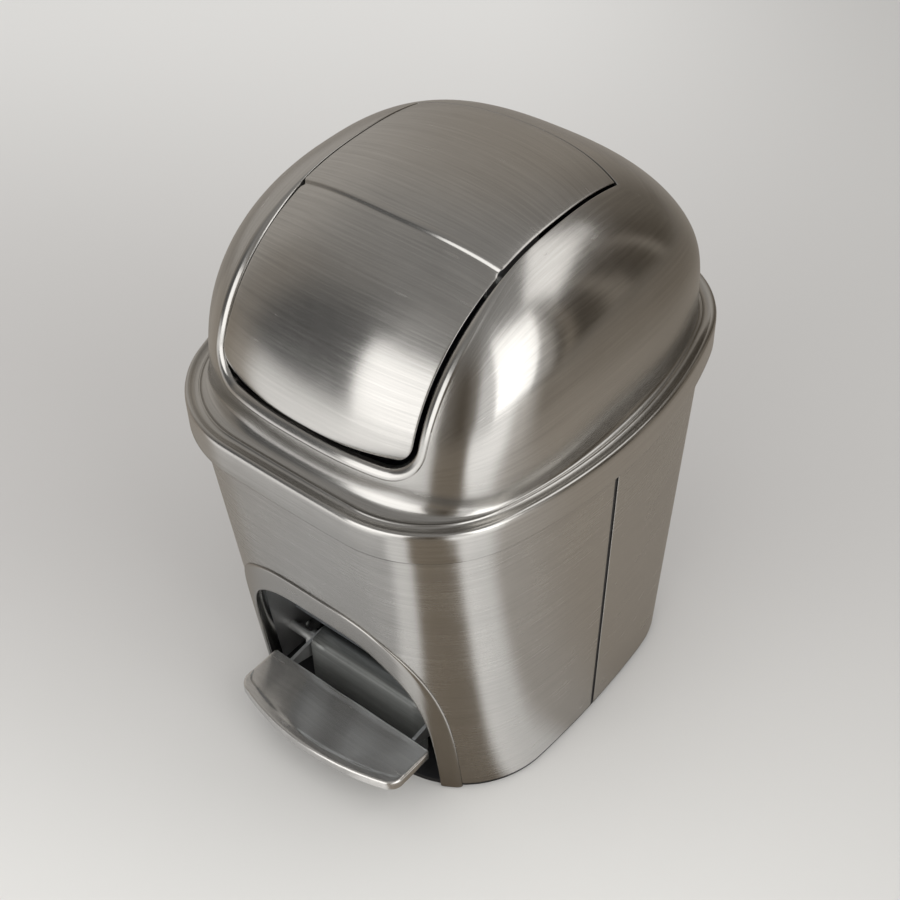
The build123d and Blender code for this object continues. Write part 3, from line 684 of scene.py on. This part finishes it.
def rivet_tree():
    """A node tree that puts a domed head on every point, turned to the point's facing attribute."""
    tree = bpy.data.node_groups.new("Rivet heads", "GeometryNodeTree")
    inputs = {}
    for label, kind in (("Points", "Geometry"), ("Head radius", "Float"), ("Head height", "Float"),
                        ("Finish", "Material")):
        item = tree.interface.new_socket(label, in_out="INPUT", socket_type="NodeSocket" + kind)
        inputs[label] = item.identifier
    tree.interface.new_socket("Heads", in_out="OUTPUT", socket_type="NodeSocketGeometry")
    given = Shade(tree).node("NodeGroupInput", {}, {})
    places, radius, height, finish = given.outputs()[:4]
    ball = given.node("GeometryNodeMeshUVSphere", {}, {"Segments": 20, "Rings": 10, "Radius": radius})
    flat = given.node("ShaderNodeCombineXYZ", {}, {0: 1.0, 1: 1.0, 2: height / radius})
    facing = given.node("GeometryNodeInputNamedAttribute", {"data_type": "FLOAT_VECTOR"}, {"Name": "facing"},
                        "Attribute")
    turn = given.node("FunctionNodeAlignRotationToVector", {"axis": "Z"}, {"Vector": facing})
    heads = given.node("GeometryNodeInstanceOnPoints", {}, {"Points": places, "Instance": ball,
                                                           "Rotation": turn, "Scale": flat})
    real = given.node("GeometryNodeRealizeInstances", {}, {0: heads})
    dressed = given.node("GeometryNodeSetMaterial", {}, {"Geometry": real, "Material": finish})
    given.node("NodeGroupOutput", {}, {0: dressed})
    return tree, inputs


def rivets(name, places, radius, height):
    """Heads at the given places (mm), each with the direction that it faces."""
    mesh = bpy.data.meshes.new(name + "_places")
    mesh.from_pydata([tuple(c * MM for c in at) for at, _ in places], [], [])
    facing = mesh.attributes.new("facing", "FLOAT_VECTOR", "POINT")
    facing.data.foreach_set("vector", [c for _, way in places for c in way])
    obj = bpy.data.objects.new(name, mesh)
    bpy.context.collection.objects.link(obj)
    heads = obj.modifiers.new("heads", "NODES")
    heads.node_group = heads_tree
    for label, value in (("Head radius", radius * MM), ("Head height", height * MM), ("Finish", zinc)):
        heads[heads_inputs[label]] = value
    plain_mesh(obj)
    settle(obj, "bin_body")


def pedal_well():
    # The pin cover's dark steel is painted shade in the well
    plate("Pin_cover", shaded_well_steel, PIN_COVER_PATH, PIN_COVER_HALF_W)
    plate("Well_back_plate", galvanised, WELL_PATH, WELL_HALF_W)
    for side, tag in ((-1, "left"), (1, "right")):
        for name, top, foot in BRACKETS:
            bracket(name + tag, side * 60, top, foot)
    wall_places = [(-92, 14), (-92, 50), (-92, 86), (-64, 14)]
    heads = [((side * WELL_HALF_W, y, z), (-side, 0, 0)) for side in (-1, 1) for y, z in wall_places]
    heads += [((x, -72.1, z), (0, -1, 0)) for x in (-57, -19, 19, 57) for z in (42, 80)]
    rivets("Well_rivets", heads, 2.2, 1.1)
    screws = [((x, y, 0.6), (0, 0, -1)) for x in (-62, 62) for y in (-58, 58)]
    rivets("Tray_screws", screws, 3.2, 0.5)


front_sheet()
rear_sheet()
arch_bezel()
lid_dome()
flap_sheet()
pedal_tread()
heads_tree, heads_inputs = rivet_tree()
pedal_well()


# Floor, light, camera
def grey(level, warm=0.0):
    return (level * (1 + warm), level, level * (1 - warm * 1.2))


def by_angle(where, stops):
    """Greys round the vertical axis; each stop has an angle from -180 degrees on, a level and a warmth."""
    x, y = where.node("ShaderNodeSeparateXYZ", {}, {0: where}).outputs()[:2]
    turned = y.maths("ARCTAN2", x) * (1 / (2 * math.pi)) + 1.5
    stops = [((angle + 180) / 360, grey(level, warm)) for angle, level, warm in stops]
    return where.node("ShaderNodeValToRGB", {"stops": stops}, {0: turned.maths("FRACT")})


# What the steel mirrors: painted reflections of light and dark bands on the floor near the can and on the floor
# farther off, and the room above the floor
NEAR_FLOOR_REFLECTION = [(-180, 0.27, 0.12), (-150, 0.34, 0.08), (-118, 0.48, 0), (-84, 0.52, 0), (-77, 0.9, 0),
              (-70, 0.9, 0), (-65, 0.19, 0.2), (-42, 0.17, 0.2), (-36, 0.95, 0), (-24, 0.85, 0),
              (-10, 0.42, 0.06), (20, 0.32, 0.12), (70, 0.28, 0.12), (130, 0.3, 0.1)]
FAR_FLOOR_REFLECTION = [(-180, 0.36, 0.1), (-156, 0.3, 0.14), (-145, 0.4, 0.1), (-131, 1.1, 0), (-92, 1.1, 0),
             (-72, 0.8, 0), (-66, 0.16, 0.2), (-46, 0.16, 0.2), (-39, 1.2, 0), (-14, 1.15, 0),
             (-2, 0.6, 0.04), (12, 0.22, 0.14), (60, 0.15, 0.18), (130, 0.3, 0.1)]
ROOM = [(-180, 0.5, 0.05), (-155, 0.3, 0.08), (-135, 0.13, 0), (-119, 0.16, 0), (-112, 0.6, 0),
        (-82, 0.55, 0), (-66, 0.2, 0.1), (-52, 0.1, 0.2), (-43, 0.26, 0.1), (-36, 1.05, 0), (-10, 1.15, 0),
        (2, 0.75, 0), (13, 0.5, 0.05), (19, 0.07, 0.2), (24, 0.26, 0.15), (28, 0.06, 0.2), (36, 0.07, 0.2),
        (42, 0.3, 0.12), (46, 0.06, 0.2), (56, 0.08, 0.2), (61, 0.26, 0.12), (66, 0.08, 0.2),
        (90, 0.15, 0.14), (120, 0.34, 0.1), (150, 0.5, 0.05)]


def pale_floor():
    """A pale floor to the camera with painted shade, darker in a band behind the can and towards the right, and
    bands of painted light and shade as reflections for mirror rays.
    """
    mat, sockets, co, _ = material("Floor", (0.6, 0.59, 0.575), 0.9)
    turned = co.node("ShaderNodeMapping", {}, {"Vector": co, "Rotation": (0, 0, math.radians(-40))})
    rightward, depth = turned.node("ShaderNodeSeparateXYZ", {}, {0: turned}).outputs()[:2]
    # Painted shade: the floor that the camera sees is darker in a band behind the can and towards the right
    shaded_floor_colour = depth.ramp(-0.25, 0.12).mix((0.70, 0.69, 0.665), (0.50, 0.485, 0.47))
    shaded_floor_colour = depth.ramp(0.2, 0.85).mix(shaded_floor_colour, (0.68, 0.67, 0.65))
    shaded_floor_colour = rightward.ramp(0.02, 0.5).mix(shaded_floor_colour, (0.47, 0.46, 0.445))
    distance = co.node("ShaderNodeVectorMath", {"operation": "LENGTH"}, {0: co}, 1)
    # Painted reflection: bands of light and dark on the floor that only mirror rays see
    painted_reflection = distance.ramp(0.3, 0.55).mix(by_angle(co, NEAR_FLOOR_REFLECTION), by_angle(co, FAR_FLOOR_REFLECTION))
    glossy = co.node("ShaderNodeLightPath", {}, {}, "Is Glossy Ray")
    glossy.mix(shaded_floor_colour, painted_reflection).into(sockets["Base Color"])
    bpy.ops.mesh.primitive_plane_add(size=8)
    floor = bpy.context.object
    floor.name = "Floor"
    floor.data.materials.append(mat)


def studio():
    world = bpy.data.worlds.new("Studio")
    bpy.context.scene.world = world
    world.use_nodes = True
    sky = Shade(world.node_tree).node("ShaderNodeTexCoord", {}, {}, "Generated")
    height = sky.node("ShaderNodeSeparateXYZ", {}, {0: sky}, 2)
    room = height.ramp(0.5, 0.95).mix(by_angle(sky, ROOM), grey(0.32, 0.02))
    glossy = sky.node("ShaderNodeLightPath", {}, {}, "Is Glossy Ray")
    glossy.mix(grey(0.93), room).into(world.node_tree.nodes["Background"].inputs[0])


def soft_box(name, where, size, level, at=(0, 0, 0.2)):
    """A soft box that points at the can and whose face has the given brightness."""
    data = bpy.data.lights.new(name, "AREA")
    data.shape, data.size, data.size_y = "RECTANGLE", *size
    data.energy = level * math.pi * size[0] * size[1]
    obj = bpy.data.objects.new(name, data)
    bpy.context.collection.objects.link(obj)
    obj.location = where
    obj.rotation_euler = (Vector(at) - Vector(where)).to_track_quat("-Z", "Y").to_euler()


pale_floor()
studio()
soft_box("Front_box", (-0.02, -1.5, 0.72), (1.22, 1.25), 1.5)
soft_box("Right_strip", (1.38, -0.27, 0.95), (0.8, 1.65), 1.5)
soft_box("Top_box", (0.7, 0.9, 2.0), (1.3, 0.8), 1.2)

lens = bpy.data.cameras.new("Camera")
lens.sensor_width, lens.lens, lens.clip_start = 36.0, 61.55, 0.01
camera = bpy.data.objects.new("Camera", lens)
bpy.context.collection.objects.link(camera)
facing = Matrix(((0.777, -0.421, 0.468), (0.629, 0.547, -0.553), (-0.023, 0.724, 0.689)))
camera.rotation_mode, camera.rotation_quaternion = "QUATERNION", facing.to_quaternion()
camera.location = (0.3759, -0.4516, 0.7009)
bpy.context.scene.camera = camera
bpy.context.scene.view_settings.view_transform = "Standard"
